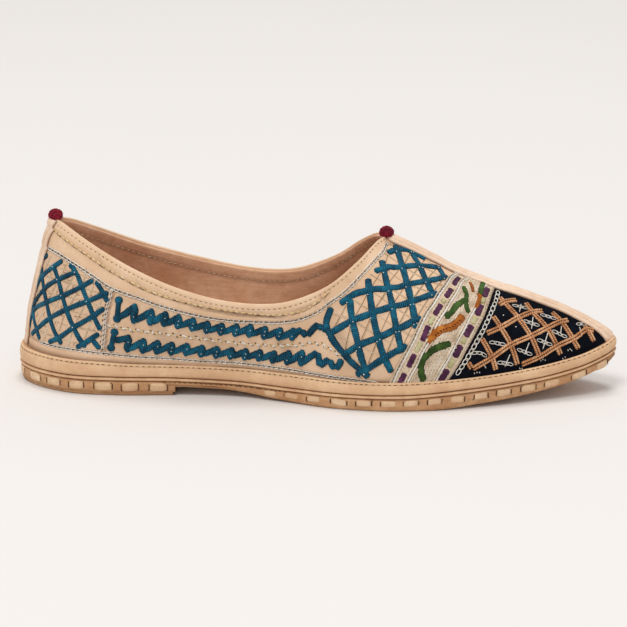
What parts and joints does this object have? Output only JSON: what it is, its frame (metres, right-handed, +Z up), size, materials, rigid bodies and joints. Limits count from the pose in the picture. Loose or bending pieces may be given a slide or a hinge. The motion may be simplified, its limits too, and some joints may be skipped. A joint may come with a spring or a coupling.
{
  "type": "mojari shoe",
  "caption": "Embroidered leather slip-on mojari with a pointed turned-up toe, low scooped topline, leather sole and stacked heel lift.",
  "frame": {"origin": "on the ground, under the middle of the shoe's bounding box", "axes": "+X towards the toe, +Y to the side away from the camera, +Z up"},
  "size_m": [0.2714, 0.081, 0.0798],
  "materials": {
    "sole_leather": "veg-tanned sole leather, waxed edge with laced stitches",
    "welt_leather": "thin pale leather welt",
    "lining_leather": "unfinished brown lining leather",
    "upper_leather": "natural tan leather, matte, embroidered in thread",
    "rand_leather": "rolled tan leather, matte",
    "strip_leather": "folded pale tan leather, matte",
    "pompom_yarn": "wound wine-red yarn",
    "teal_thread": "thick laid embroidery thread",
    "pale_thread": "chain-stitched cotton thread",
    "tan_thread": "chain-stitched silk thread",
    "coloured_thread": "chain-stitched motifs in green, orange, olive and purple",
    "toe_cloth": "black cloth panel under thread",
    "trim_cloth": "cream embroidered band"
  },
  "bodies": {
    "root": {"outsole": "sole_leather", "heel_lift": "sole_leather", "midsole": "welt_leather", "insole": "lining_leather", "upper": "upper_leather", "rand": "rand_leather", "ridge_strip": "strip_leather", "back_strip": "strip_leather", "throat_pompom": "pompom_yarn", "back_pompom": "pompom_yarn"}
  },
  "joints": []
}
